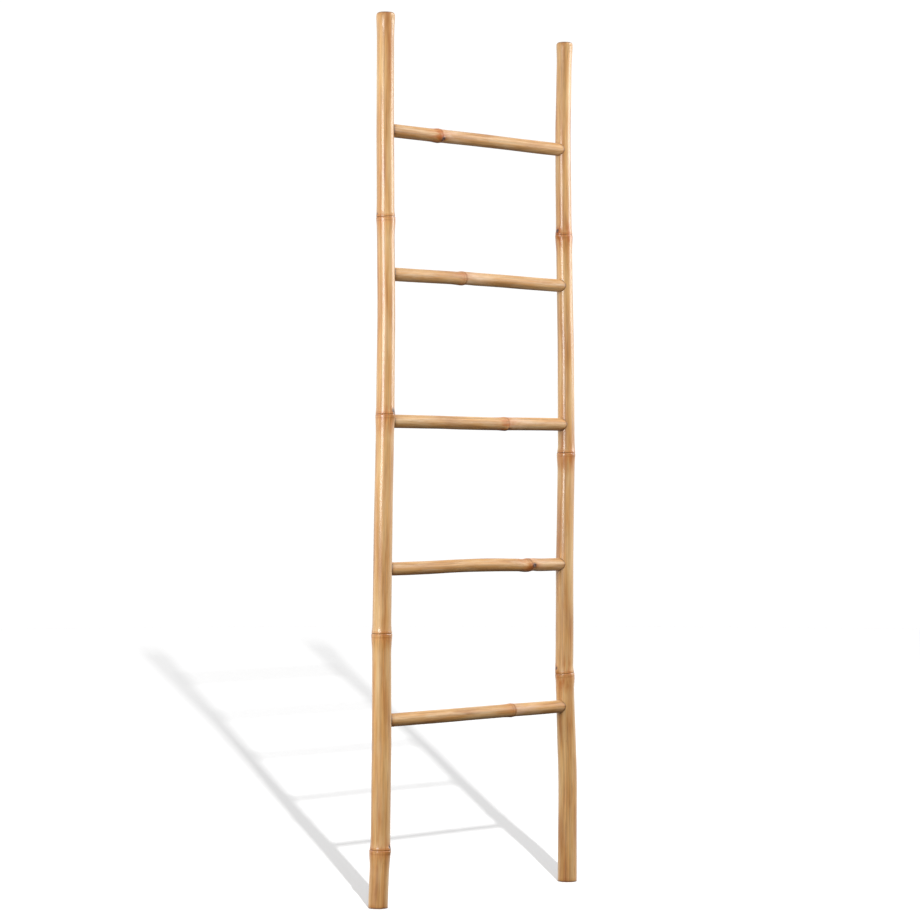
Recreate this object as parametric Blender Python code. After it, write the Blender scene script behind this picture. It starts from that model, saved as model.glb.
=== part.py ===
"""Bamboo ladder rack: two tapering bamboo poles joined by five coped bamboo rungs.

Metres, +Z up. The rack stands upright on z = 0 with its rungs along X and its front
towards -Y. A hardwood dowel ties each end of a rung to its pole, and a bamboo pin driven
in from the back of the pole locks the dowel.
"""
import math

import bmesh
import bpy
from mathutils import Vector

MM = 0.001

# Overall sizes
LADDER_HEIGHT = 1.502
FOOT_SPACING = 0.477  # between the poles' centres at the floor
TOP_SPACING = 0.448  # between the poles' centres at the top
TOP_LEAN = 0.0062  # how far both tops lean towards +X, a hand-made frame being out of square
FIT_GAP = 0.0003  # clearance wherever two pieces meet

# Poles: natural culms, so each has its own girth, nodes and sway
POLE_WALL = 0.0042
POLE_SIDES = 24
DIAPHRAGM_THICKNESS = 0.004
DIAPHRAGM_FLARE = 0.004  # height over which the hollow closes in to a diaphragm
PIERCED_DIAMETER = 0.008  # rodded through the diaphragms for the preservative
TOP_DIAPHRAGM_THICKNESS = 0.006
FOOT_CHAMFER = 0.0006

# Sway is how far the culm strays from a straight line, in mm along X and Y: at its foot,
# then by turns halfway up each internode and at the node above it, and last at its top.
# Tilt is the rise of each node's ring per unit of X.
POLES = {
    "left_pole": {
        "side": -1,
        "height": LADDER_HEIGHT,
        "foot_diameter": 0.0338,
        "top_diameter": 0.0290,
        "nodes": (0.097, 0.460, 0.828, 1.159),
        "tilts": (-0.12, 0.0, 0.0, 0.08),
        "sway_mm": (
            (0, 0), (2, 0), (5, 0.3), (7, 0.8), (3, -0.5), (4, -1.2), (7.5, -0.5),
            (9.5, 0.8), (5.5, 1), (1.5, 0.5), (0, 0),
        ),
    },
    "right_pole": {
        "side": 1,
        "height": LADDER_HEIGHT - 0.0035,  # sawn a little shorter than its neighbour
        "foot_diameter": 0.0346,
        "top_diameter": 0.0266,
        "nodes": (0.372, 0.765, 1.155),
        "tilts": (0.18, -0.15, 0.0),
        "sway_mm": (
            (0, 0), (1.5, -0.8), (-6.5, -1), (-4.5, 0.5), (2.5, 1.2), (1, 0.5), (-5, -1),
            (-6.5, -0.5), (0, 0),
        ),
    },
}

# Outlines of a node and of the top end: height from the node's ring or from the sawn
# end, how much the radius swells there, and how much of the ring's tilt it takes.
NODE_OUTLINE = (
    (-0.028, 0.0, 0.0),
    (-0.013, 0.0009, 0.5),
    (-0.006, 0.0016, 1.0),
    (-0.001, 0.0015, 1.0),
    (0.0006, 0.0005, 1.0),
    (0.016, 0.0, 0.0),
)
TOP_OUTLINE = (
    (-0.045, 0.0, 0.0),
    (-0.016, 0.0009, 0.0),
    (-0.0025, 0.0015, 0.0),
    (0.0, -0.0005, 0.0),
)

# Rungs, from the lowest up: the node's place along X, the rise from the left end to the
# right end, the bow at mid span, and how far above its even pitch the holes were bored.
RUNG_DIAMETER = 0.0228
RUNG_SIDES = 20
BOTTOM_RUNG_HEIGHT = 0.3125
TOP_RUNG_DROP = 0.197  # from the top of the ladder down to the highest rung
RUNG_DIAPHRAGM_THICKNESS = 0.003
RUNG_SPANS = 8  # straight facets along a rung
RUNGS = (
    {"node_x": 0.089, "rise": 1 * MM, "bow": 0.3 * MM, "off_pitch": 0.0},
    {"node_x": 0.133, "rise": -0.5 * MM, "bow": 2.8 * MM, "off_pitch": 6.5 * MM},
    {"node_x": 0.073, "rise": 0.5 * MM, "bow": -1.2 * MM, "off_pitch": 7 * MM},
    {"node_x": -0.034, "rise": 0.0, "bow": 1.7 * MM, "off_pitch": 6.5 * MM},
    {"node_x": -0.093, "rise": 1 * MM, "bow": 0.5 * MM, "off_pitch": 0.0},
)
RUNG_NODE_OUTLINE = (
    (-0.014, 0.0),
    (-0.005, 0.0007),
    (-0.0008, 0.0010),
    (0.0008, 0.0004),
    (0.012, 0.0),
)

# Joinery
DOWEL_DIAMETER = 0.012
DOWEL_SOCKET_DEPTH = 0.036  # in the rung, from the pole's surface
DOWEL_PAST_AXIS = 0.0055  # beyond the pole's axis, so that there is wood round the pin
DOWEL_CHAMFER = 0.001
DOWEL_SIDES = 16
PIN_DIAMETER = 0.004
PIN_PAST_DOWEL = 0.001
PIN_SIDES = 12
CUT_OVERRUN = 0.006  # how far a cutter stands out of the piece it cuts

X_AXIS = Vector((1, 0, 0))
Y_AXIS = Vector((0, 1, 0))
Z_AXIS = Vector((0, 0, 1))


def clear_scene():
    for old in list(bpy.data.objects):
        bpy.data.objects.remove(old, do_unlink=True)


def linear(hex_colour):
    """An sRGB hex colour as linear RGBA."""
    channels = [int(hex_colour[i:i + 2], 16) / 255 for i in (1, 3, 5)]
    return [c / 12.92 if c <= 0.04045 else ((c + 0.055) / 1.055) ** 2.4 for c in channels] + [1.0]


def make_material(name, hex_colour, roughness, coat):
    material = bpy.data.materials.new(name)
    material.use_nodes = True
    shader = material.node_tree.nodes["Principled BSDF"]
    shader.inputs["Base Color"].default_value = linear(hex_colour)
    shader.inputs["Roughness"].default_value = roughness
    shader.inputs["Metallic"].default_value = 0.0
    shader.inputs["Coat Weight"].default_value = coat
    material.diffuse_color = linear(hex_colour)
    return material


def ring(bm, centre, radius, sides, across, up):
    """Vertices round a centre, in the plane of the vectors across and up."""
    verts = []
    for k in range(sides):
        angle = 2 * math.pi * (k + 0.5) / sides
        offset = across * (radius * math.cos(angle)) + up * (radius * math.sin(angle))
        verts.append(bm.verts.new(centre + offset))
    return verts


def bridge(bm, rings):
    """Quads between each ring and the next."""
    for lower, upper in zip(rings, rings[1:]):
        for k in range(len(lower)):
            bm.faces.new((lower[k - 1], lower[k], upper[k], upper[k - 1]))


def finish(bm, name, material=None, smooth_angle=40):
    """A scene object from a bmesh, its faces turned outwards and shaded smooth."""
    bmesh.ops.recalc_face_normals(bm, faces=bm.faces)
    mesh = bpy.data.meshes.new(name)
    bm.to_mesh(mesh)
    bm.free()
    mesh.shade_smooth()
    mesh.set_sharp_from_angle(angle=math.radians(smooth_angle))
    obj = bpy.data.objects.new(name, mesh)
    bpy.context.scene.collection.objects.link(obj)
    if material:
        mesh.materials.append(material)
    else:
        obj.hide_render = True
        obj.display_type = "WIRE"
    return obj


def cut(obj, cutter):
    modifier = obj.modifiers.new("cut by " + cutter.name, "BOOLEAN")
    modifier.operation = "DIFFERENCE"
    modifier.solver = "EXACT"
    modifier.object = cutter


def add_rod(bm, start, end, radius, sides, chamfer=0.0):
    """A solid round rod between two points, its ends chamfered if asked."""
    axis = (end - start).normalized()
    up = Z_AXIS if abs(axis.z) < 0.5 else Y_AXIS
    across = up.cross(axis).normalized()
    up = axis.cross(across)
    steps = [(0.0, radius - chamfer), ((end - start).length, radius - chamfer)]
    if chamfer:
        steps[1:1] = [(chamfer, radius), ((end - start).length - chamfer, radius)]
    rings = [ring(bm, start + axis * s, r, sides, across, up) for s, r in steps]
    bridge(bm, rings)
    bm.faces.new(rings[0])
    bm.faces.new(rings[-1])


# ---- the poles' shape ----

def course_heights(pole):
    """Foot, middle and top of each internode, upwards: where a culm's sway is given."""
    heights = [0.0]
    for low, high in zip((0.0, *pole["nodes"]), (*pole["nodes"], pole["height"])):
        heights += [(low + high) / 2, high]
    return heights


def sway_at(pole, z):
    """A smooth curve through the culm's sway values."""
    heights = course_heights(pole)
    values = [Vector((x, y, 0)) * MM for x, y in pole["sway_mm"]]
    last = len(heights) - 1

    def slope(i):
        below = max(i - 1, 0)
        above = min(i + 1, last)
        return (values[above] - values[below]) / (heights[above] - heights[below])

    k = max(i for i in range(last) if heights[i] <= z or i == 0)
    rise = heights[k + 1] - heights[k]
    t = (z - heights[k]) / rise
    return (
        values[k] * (2 * t**3 - 3 * t**2 + 1)
        + slope(k) * rise * (t**3 - 2 * t**2 + t)
        + values[k + 1] * (3 * t**2 - 2 * t**3)
        + slope(k + 1) * rise * (t**3 - t**2)
    )


def centre_at(pole, z):
    share = z / LADDER_HEIGHT
    half_spacing = (FOOT_SPACING + (TOP_SPACING - FOOT_SPACING) * share) / 2
    straight = Vector((pole["side"] * half_spacing + TOP_LEAN * share, 0, z))
    return straight + sway_at(pole, z)


def plain_radius(pole, z):
    """The culm's taper, without its nodes."""
    taper = pole["top_diameter"] - pole["foot_diameter"]
    return (pole["foot_diameter"] + taper * z / pole["height"]) / 2


def skin_stations(pole):
    """The culm's outer shape as (height, radius, tilt), from the foot up."""
    stations = [
        (0.0, plain_radius(pole, 0.0) - FOOT_CHAMFER, 0.0),
        (FOOT_CHAMFER, plain_radius(pole, FOOT_CHAMFER), 0.0),
    ]
    for ring_height, tilt in zip(pole["nodes"], pole["tilts"]):
        for offset, swelling, share in NODE_OUTLINE:
            z = ring_height + offset
            stations.append((z, plain_radius(pole, z) + swelling, tilt * share))
    for offset, swelling, _ in TOP_OUTLINE:
        z = pole["height"] + offset
        stations.append((z, plain_radius(pole, z) + swelling, 0.0))
    for middle in course_heights(pole)[1::2]:
        stations.append((middle, plain_radius(pole, middle), 0.0))
    return sorted(stations)


def skin_rings(bm, pole, stations, grow=0.0):
    rings = []
    for z, radius, tilt in stations:
        tilted = X_AXIS + Z_AXIS * tilt
        rings.append(ring(bm, centre_at(pole, z), radius + grow, POLE_SIDES, tilted, Y_AXIS))
    return rings


def skin_at(pole, z):
    """Centre and radius of the faceted culm at any height."""
    stations = skin_stations(pole)
    for low, high in zip(stations, stations[1:]):
        if low[0] <= z <= high[0]:
            t = (z - low[0]) / (high[0] - low[0])
            centre = centre_at(pole, low[0]).lerp(centre_at(pole, high[0]), t)
            return centre, low[1] + (high[1] - low[1]) * t
    raise ValueError("height beyond the pole")


def hollow_stations(pole):
    """The culm's hollow as (height, radius): open foot, pierced diaphragms, closed top."""
    inside = [(0.0, plain_radius(pole, 0.0) - POLE_WALL)]
    for middle in course_heights(pole)[1::2]:
        inside.append((middle, plain_radius(pole, middle) - POLE_WALL))
    for z in pole["nodes"]:
        wide = plain_radius(pole, z) - POLE_WALL
        near = DIAPHRAGM_THICKNESS / 2
        far = near + DIAPHRAGM_FLARE
        inside += [(z - far, wide), (z - near, PIERCED_DIAMETER / 2)]
        inside += [(z + near, PIERCED_DIAMETER / 2), (z + far, wide)]
    ceiling = pole["height"] - TOP_DIAPHRAGM_THICKNESS
    inside.append((ceiling - DIAPHRAGM_FLARE, plain_radius(pole, ceiling) - POLE_WALL))
    inside.append((ceiling, PIERCED_DIAMETER / 2))
    return sorted(inside)


def make_pole(name, pole, material):
    bm = bmesh.new()
    outside = skin_rings(bm, pole, skin_stations(pole))
    inside = [
        ring(bm, centre_at(pole, z), radius, POLE_SIDES, X_AXIS, Y_AXIS)
        for z, radius in hollow_stations(pole)
    ]
    bridge(bm, outside)
    bridge(bm, inside)
    bridge(bm, [outside[0], inside[0]])
    bm.faces.new(outside[-1])
    bm.faces.new(inside[-1])
    return finish(bm, name, material)


# ---- the rungs and their joints ----

def rung_heights():
    """Height of each rung's left end, evenly pitched but for the borer's hand."""
    pitch = (LADDER_HEIGHT - TOP_RUNG_DROP - BOTTOM_RUNG_HEIGHT) / (len(RUNGS) - 1)
    return [BOTTOM_RUNG_HEIGHT + k * pitch + r["off_pitch"] for k, r in enumerate(RUNGS)]


def rung_ends(height, rung):
    """Points where a rung's axis meets the left and right poles' axes."""
    left, _ = skin_at(POLES["left_pole"], height)
    right, _ = skin_at(POLES["right_pole"], height + rung["rise"])
    return left, right


def rung_stations(left, right, rung):
    """Distances from the left pole's axis, with the swelling of the rung's radius."""
    length = (right - left).length
    node = rung["node_x"] - left.x
    stations = [(node + offset, swelling) for offset, swelling in RUNG_NODE_OUTLINE]
    clear = length / RUNG_SPANS / 2
    for k in range(RUNG_SPANS + 1):
        s = length * k / RUNG_SPANS
        if abs(s - node) > clear:
            stations.append((s, 0.0))
    return sorted(stations), node


def bow_at(s, length, bow):
    """Lift of a rung's axis, which is straight where the dowels sit."""
    straight = DOWEL_SOCKET_DEPTH + plain_radius(POLES["left_pole"], 0.0)
    t = (s - straight) / (length - 2 * straight)
    return bow * math.sin(math.pi * min(max(t, 0.0), 1.0)) ** 2


def make_rung(name, left, right, rung, material):
    axis = (right - left).normalized()
    across = Z_AXIS.cross(axis).normalized()
    up = axis.cross(across)
    length = (right - left).length
    stations, node = rung_stations(left, right, rung)
    bm = bmesh.new()

    def ring_at(s, radius):
        centre = left + axis * s + up * bow_at(s, length, rung["bow"])
        return ring(bm, centre, radius, RUNG_SIDES, across, up)

    outside = [ring_at(s, RUNG_DIAMETER / 2 + swelling) for s, swelling in stations]
    bore = DOWEL_DIAMETER / 2 + FIT_GAP
    half = RUNG_DIAPHRAGM_THICKNESS / 2
    left_places = [s for s, _ in stations if s < node - 2 * half] + [node - half]
    right_places = [node + half] + [s for s, _ in stations if s > node + 2 * half]
    left_bore = [ring_at(s, bore) for s in left_places]
    right_bore = [ring_at(s, bore) for s in right_places]
    bridge(bm, outside)
    bridge(bm, left_bore)
    bridge(bm, right_bore)
    bridge(bm, [outside[0], left_bore[0]])
    bridge(bm, [outside[-1], right_bore[-1]])
    bm.faces.new(left_bore[-1])
    bm.faces.new(right_bore[0])
    return finish(bm, name, material)


def make_cope_cutter(name, height):
    """The stretch of both poles round a rung's ends, grown by the fit gap."""
    bm = bmesh.new()
    grow = FIT_GAP / math.cos(math.pi / POLE_SIDES)
    for pole in POLES.values():
        stations = skin_stations(pole)
        below = max(i for i, s in enumerate(stations) if s[0] < height - RUNG_DIAMETER)
        above = min(i for i, s in enumerate(stations) if s[0] > height + RUNG_DIAMETER)
        rings = skin_rings(bm, pole, stations[below:above + 1], grow)
        bridge(bm, rings)
        bm.faces.new(rings[0])
        bm.faces.new(rings[-1])
    return finish(bm, name)


def joint_list():
    """Every rung end: its name, pole, the point on the pole's axis, the way into the rung."""
    joints = []
    for number, (height, rung) in enumerate(zip(rung_heights(), RUNGS), start=1):
        left, right = rung_ends(height, rung)
        inward = (right - left).normalized()
        joints.append((f"{number}_left", POLES["left_pole"], left, inward))
        joints.append((f"{number}_right", POLES["right_pole"], right, -inward))
    return joints


def dowel_span(pole, point, inward):
    """Both ends of a dowel's axis: inside the pole, and inside the rung."""
    _, radius = skin_at(pole, point.z)
    return point - inward * DOWEL_PAST_AXIS, point + inward * (radius + DOWEL_SOCKET_DEPTH - FIT_GAP)


def pin_span(pole, point):
    """Both ends of a pin's axis: at the back of the pole, and past the dowel."""
    _, radius = skin_at(pole, point.z)
    flat_radius = radius * math.cos(math.pi / POLE_SIDES)
    tip = point - Y_AXIS * (DOWEL_DIAMETER / 2 + PIN_PAST_DOWEL)
    return point + Y_AXIS * flat_radius, tip


def make_dowel_bores(joints):
    bm = bmesh.new()
    for _, pole, point, inward in joints:
        inner, _ = dowel_span(pole, point, inward)
        _, radius = skin_at(pole, point.z)
        outer = point + inward * (radius + CUT_OVERRUN)
        bore = DOWEL_DIAMETER / 2 + FIT_GAP
        add_rod(bm, inner - inward * FIT_GAP, outer, bore, DOWEL_SIDES)
    return finish(bm, "dowel_bores")


def make_pin_bores(joints):
    bm = bmesh.new()
    for _, pole, point, _ in joints:
        head, tip = pin_span(pole, point)
        bore = PIN_DIAMETER / 2 + FIT_GAP
        add_rod(bm, head + Y_AXIS * CUT_OVERRUN, tip - Y_AXIS * FIT_GAP, bore, PIN_SIDES)
    return finish(bm, "pin_bores")


def make_dowel(name, pole, point, inward, material):
    bm = bmesh.new()
    inner, outer = dowel_span(pole, point, inward)
    add_rod(bm, inner, outer, DOWEL_DIAMETER / 2, DOWEL_SIDES, DOWEL_CHAMFER)
    return finish(bm, name, material)


def make_pin(name, pole, point, material):
    bm = bmesh.new()
    head, tip = pin_span(pole, point)
    add_rod(bm, head, tip, PIN_DIAMETER / 2, PIN_SIDES)
    return finish(bm, name, material)


def build():
    clear_scene()
    pole_bamboo = make_material("varnished pole bamboo", "#cf9a5e", 0.35, 0.5)
    rung_bamboo = make_material("varnished rung bamboo", "#c4986a", 0.38, 0.5)
    hardwood = make_material("hardwood dowel", "#cfae7e", 0.7, 0.0)
    pin_bamboo = make_material("split bamboo pin", "#b98a52", 0.55, 0.2)

    joints = joint_list()
    dowel_bores = make_dowel_bores(joints)
    pin_bores = make_pin_bores(joints)

    for name, pole in POLES.items():
        obj = make_pole(name, pole, pole_bamboo)
        cut(obj, dowel_bores)
        cut(obj, pin_bores)

    for number, (height, rung) in enumerate(zip(rung_heights(), RUNGS), start=1):
        left, right = rung_ends(height, rung)
        obj = make_rung(f"rung_{number}", left, right, rung, rung_bamboo)
        cut(obj, make_cope_cutter(f"cope_{number}", height))

    for name, pole, point, inward in joints:
        dowel = make_dowel(f"dowel_{name}", pole, point, inward, hardwood)
        cut(dowel, pin_bores)
        make_pin(f"pin_{name}", pole, point, pin_bamboo)


build()
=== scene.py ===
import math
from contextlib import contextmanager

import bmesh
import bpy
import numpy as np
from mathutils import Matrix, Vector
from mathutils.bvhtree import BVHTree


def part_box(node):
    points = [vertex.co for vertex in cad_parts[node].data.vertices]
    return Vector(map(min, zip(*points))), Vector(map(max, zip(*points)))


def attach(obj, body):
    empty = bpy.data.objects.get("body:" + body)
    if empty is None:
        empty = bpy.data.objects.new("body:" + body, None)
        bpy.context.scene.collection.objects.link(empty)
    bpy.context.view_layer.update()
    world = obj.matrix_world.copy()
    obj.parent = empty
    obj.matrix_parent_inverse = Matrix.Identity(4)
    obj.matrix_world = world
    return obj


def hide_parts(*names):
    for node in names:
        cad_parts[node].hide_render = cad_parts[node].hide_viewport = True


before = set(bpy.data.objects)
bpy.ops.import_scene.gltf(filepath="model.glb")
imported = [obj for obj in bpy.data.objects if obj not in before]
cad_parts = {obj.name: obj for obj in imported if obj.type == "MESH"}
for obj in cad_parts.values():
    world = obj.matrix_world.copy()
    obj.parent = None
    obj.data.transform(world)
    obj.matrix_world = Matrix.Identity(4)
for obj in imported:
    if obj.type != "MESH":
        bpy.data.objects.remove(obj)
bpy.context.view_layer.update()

# %% [markdown]
# # A bamboo ladder rack
#
# The rack is two long bamboo poles with five bamboo rungs between them. Each rung end is
# shaped to the round of its pole and tied to it by a hidden dowel and a small pin.
#
# A stem of bamboo is called a culm. It grows as hollow lengths with a solid partition, a
# node, between them, and everything that makes it look like bamboo happens at the nodes:
# the swelling, the scar that the leaf sheath left, the bud above it and the blush of
# colour around it. So the lesson is mostly about one plain tube, and about its nodes.
#
# The CAD model is loaded above as a fixed frame. It has the right sizes and simple,
# faceted shapes. Every piece below is measured from it and stands in its place.

MM = 0.001
SIDES = ("left", "right")
RUNG_COUNT = 5

scene = bpy.context.scene


def pick_none():
    """Nothing selected, so that the next operator acts only on its own piece."""
    if bpy.context.object and bpy.context.object.mode != "OBJECT":
        bpy.ops.object.mode_set(mode="OBJECT")
    bpy.ops.object.select_all(action="DESELECT")


def pick(piece):
    """Only this piece is selected and active."""
    pick_none()
    piece.select_set(True)
    bpy.context.view_layer.objects.active = piece


@contextmanager
def editing(piece):
    """Edit mode on this piece alone, and object mode again when the block ends."""
    pick(piece)
    bpy.ops.object.mode_set(mode="EDIT")
    yield
    bpy.ops.object.mode_set(mode="OBJECT")


def apply_modifier(piece, kind, **settings):
    """Adds a modifier with its settings and applies it."""
    pick(piece)
    modifier = piece.modifiers.new(kind.lower(), kind)
    for name, value in settings.items():
        setattr(modifier, name, value)
    bpy.ops.object.modifier_apply(modifier=modifier.name)


def discard(*pieces):
    for piece in pieces:
        bpy.data.objects.remove(piece, do_unlink=True)


# %% [markdown]
# ## Measuring the frame with callipers
#
# A woodturner copies a leg by closing callipers on it at one height after another. The
# same is done here on each CAD culm: four rays come in from the corners, where no bore
# is, and the four places they touch give the middle and the radius. That keeps one set
# of sizes, the CAD model's, with none written down twice.

# %% Callipers
REACH = 60 * MM  # how far out the rays start, well clear of any culm
CORNERS = ((1, 1.07), (-1.07, 1), (-1, -1.07), (1.07, -1))
HAIR = 0.013 * MM  # the rays pass a hair above a height, so as not to run along an edge
CENTRING_ROUNDS = 3  # each round starts from the middle that the last one found


class Culm:
    """A CAD culm to be measured. `lay` turns an upright culm to the way this one lies."""

    def __init__(self, node, lay):
        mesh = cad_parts[node].data
        self.node = node
        self.lay = lay
        self.unlay = lay.inverted()
        places = [self.unlay @ vertex.co for vertex in mesh.vertices]
        self.tree = BVHTree.FromPolygons(places, [face.vertices for face in mesh.polygons])
        self.low = min(place.z for place in places)
        self.high = max(place.z for place in places)
        self.middle = sum(places, Vector()) / len(places)

    def measure(self, height):
        """Centre and radius at a height, as if the culm stood upright."""
        centre = Vector((self.middle.x, self.middle.y, height + HAIR))
        for _ in range(CENTRING_ROUNDS):
            touches = []
            for corner in CORNERS:
                outwards = Vector((*corner, 0)).normalized()
                touches.append(self.tree.ray_cast(centre + outwards * REACH, -outwards)[0])
            centre = sum(touches, Vector()) / 4
        return centre, sum((touch - centre).length for touch in touches) / 4


UPRIGHT = Matrix.Identity(3)
LYING = Matrix.Rotation(math.radians(90), 3, "Y")  # +Z of the upright culm becomes +X

culms = {f"{side}_pole": Culm(f"{side}_pole", UPRIGHT) for side in SIDES}
for number in range(1, RUNG_COUNT + 1):
    culms[f"rung_{number}"] = Culm(f"rung_{number}", LYING)

for name, culm in culms.items():
    centre, radius = culm.measure((culm.low + culm.high) / 2)
    print(f"{name}: {culm.high - culm.low:.3f} m long, {2000 * radius:.1f} mm thick at the middle")

# %% [markdown]
# The nodes are found the same way. Going up a culm, its radius drops sharply at the scar
# ring of each node and nowhere else, so the callipers look for those drops.

# %% Finding the nodes
DROP_WINDOW = 2.5 * MM
LEAST_DROP = 0.4 * MM
END_MARGIN = 22 * MM  # the shaped ends of a culm are left out of the search
SWOLLEN_BELOW = 34 * MM  # how far the swelling of a node can reach under its ring
SWOLLEN_ABOVE = 20 * MM
TAPER_STEP = 10 * MM


def find_rings(culm):
    """Heights of the scar rings, from the lowest up."""
    rings = []
    run = []
    for height in np.arange(culm.low + END_MARGIN, culm.high - END_MARGIN, MM):
        below = culm.measure(height - DROP_WINDOW)[1]
        above = culm.measure(height + DROP_WINDOW)[1]
        if below - above > LEAST_DROP:
            run.append(height)
        elif run:
            rings.append(sum(run) / len(run))
            run = []
    return rings


def plain_radii(culm):
    """Heights and radii clear of the nodes and the shaped ends."""
    heights = []
    for height in np.arange(culm.low + END_MARGIN, culm.high - 2 * END_MARGIN, TAPER_STEP):
        clear = [height < ring - SWOLLEN_BELOW or height > ring + SWOLLEN_ABOVE for ring in culm.rings]
        if all(clear):
            heights.append(height)
    return heights, [culm.measure(height)[1] for height in heights]


for name, culm in culms.items():
    culm.rings = find_rings(culm)
    culm.plain = plain_radii(culm)
    print(name, "rings at", [round(1000 * ring) for ring in culm.rings], "mm")

# %% [markdown]
# ## What happens at a node
#
# Seen closely, a node has four parts. The culm swells for some 30 mm below it. A thin
# sheath scar runs round it in a fine groove with a lip over it. A bud, or the stub of a
# side branch, sits just above the scar, on the other side of the culm at each node. And
# the skin round all this is blotched pink to red brown. No two nodes are alike, so each
# one gets a line of its own here: how strongly it swells, how its ring slants, where its
# bud is and how much it blushes.

# %% The nodes, one by one
class Node:
    """One node of a culm. Angles go round the culm from +X towards +Y, in degrees."""

    def __init__(self, swell, slant, bud_angle, bud_rise, bud_size, blush):
        self.swell = swell  # share of the full swelling
        self.slant = slant  # rise of the ring per unit of X and of Y
        self.bud_angle = bud_angle
        self.bud_rise = bud_rise  # height of the bud over the ring
        self.bud_size = bud_size  # share of a full-size bud
        self.blush = blush  # from 0, pale, to 1, red brown


NODES = {
    "left_pole": (
        Node(1.00, (-0.02, 0.02), -73, 5 * MM, 1.0, 0.35),
        Node(1.00, (0.0, 0.0), 100, 5 * MM, 0.8, 0.15),
        Node(0.65, (0.0, 0.0), -80, 5 * MM, 1.25, 0.55),
        Node(0.75, (0.03, -0.03), 161, 4 * MM, 0.6, 0.25),
    ),
    "right_pole": (
        Node(0.75, (0.06, -0.06), 165, 9 * MM, 0.8, 0.75),
        Node(0.95, (-0.03, 0.03), -10, 5 * MM, 0.8, 0.6),
        Node(0.90, (0.0, 0.0), 174, 6 * MM, 1.1, 0.9),
    ),
    "rung_1": (Node(0.55, (0.0, 0.0), 150, 3 * MM, 0.5, 0.2),),
    "rung_2": (Node(0.50, (0.1, 0.1), -88, 4 * MM, 1.5, 0.7),),
    "rung_3": (Node(0.50, (0.0, 0.0), -42, 2 * MM, 1.2, 0.8),),
    "rung_4": (Node(0.60, (0.05, 0.0), 140, 3 * MM, 0.6, 0.4),),
    "rung_5": (Node(0.70, (0.0, 0.1), -62, 1 * MM, 1.4, 0.9),),
}
for name, nodes in NODES.items():
    assert len(nodes) == len(culms[name].rings), name
    culms[name].nodes = nodes

print(sum(len(nodes) for nodes in NODES.values()), "nodes described")

# %% [markdown]
# ## The outline of a culm
#
# A culm is round all the way, so it can be turned like a chair leg: draw half of its
# outline, then spin it. The outline needs few points on the straight lengths and many
# at a node, where the lip of the scar is less than a millimetre high. It is given as the
# swelling of the radius at heights from the ring. The radii between come from the
# callipers.

# %% Outlines
NODE_SWELLING = (  # mm from the ring, mm added to the radius
    (-34, 0.0), (-27, 0.16), (-21, 0.48), (-16, 0.85), (-12, 1.16), (-9, 1.38), (-6.5, 1.55),
    (-4.5, 1.66), (-3, 1.72), (-2, 1.70), (-1.4, 1.58), (-0.9, 1.30), (-0.5, 1.02), (0, 0.85),
    (0.5, 0.95), (1.0, 1.14), (1.6, 1.20), (2.4, 1.12), (3.6, 0.92), (5.5, 0.66), (8, 0.42),
    (11, 0.22), (15, 0.08), (20, 0.0),
)
TOP_FLARE = (  # mm below the sawn top, share of the flare
    (-45, 0.0), (-36, 0.08), (-28, 0.27), (-20, 0.55), (-13, 0.85), (-8, 1.0), (-5.5, 0.97),
    (-3.8, 0.82), (-2.5, 0.52), (-1.5, 0.12), (-0.7, -0.4), (-0.2, -0.9), (0, -1.3),
)
RUNG_NODE_LENGTH = 0.6  # a thin culm's node is shorter, too
NODE_REACH = 36 * MM  # nearer to a ring than this, the outline follows the node's own points
PLAIN_STEP = 12 * MM
FLARE_AT = 3 * MM  # below the sawn top, where the flare is measured
FOOT_CHAMFER = 0.6 * MM
END_SPARE = 2 * MM  # a rung starts a little long, and is cut to the pole later


def is_pole(culm):
    return culm.node.endswith("pole")


def node_scale(culm):
    return 1.0 if is_pole(culm) else RUNG_NODE_LENGTH


def skin_radius(culm, height):
    """Radius of the skin: the measured taper plus what each node and the top add."""
    radius = np.interp(height, *culm.plain)
    for ring, node in zip(culm.rings, culm.nodes):
        at = (height - ring) / MM / node_scale(culm)
        radius += node.swell * MM * np.interp(at, *zip(*NODE_SWELLING), left=0, right=0)
    if is_pole(culm):
        flare = culm.measure(culm.high - FLARE_AT)[1] - culm.plain[1][-1]
        at = (height - culm.high) / MM
        radius += flare * np.interp(at, *zip(*TOP_FLARE), left=0, right=0)
        radius -= max(0.0, culm.low + FOOT_CHAMFER - height)
    return radius


def skin_outline(culm):
    """(radius, height) from the middle of one end, up the skin, to the middle of the other."""
    heights = set(np.arange(culm.low + PLAIN_STEP, culm.high - 4 * PLAIN_STEP, PLAIN_STEP))
    for ring in culm.rings:
        reach = NODE_REACH * node_scale(culm)
        heights = {height for height in heights if abs(height - ring) > reach}
        heights |= {ring + at * MM * node_scale(culm) for at, _ in NODE_SWELLING}
    if is_pole(culm):
        heights |= {culm.low, culm.low + FOOT_CHAMFER}
        heights |= {culm.high + at * MM for at, _ in TOP_FLARE}
    else:
        heights |= {culm.low - END_SPARE, culm.high + END_SPARE}
    outline = [(skin_radius(culm, height), height) for height in sorted(heights)]
    return [(0.0, outline[0][1])] + outline + [(0.0, outline[-1][1])]


for name, culm in culms.items():
    print(f"{name}: an outline of {len(skin_outline(culm))} points")

# %% [markdown]
# ## Turning a culm
#
# In Blender the outline is drawn by extruding one vertex from point to point, and the
# Spin tool turns it round the Z axis. Lathe-like pieces could be made with a Screw
# modifier, too, but a spun mesh can be edited straight away, and the nodes need that.

# %% Drawing and spinning an outline
POLE_SPOKES = 72
RUNG_SPOKES = 60
WELD = 0.001 * MM  # vertices nearer than this are one


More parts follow.
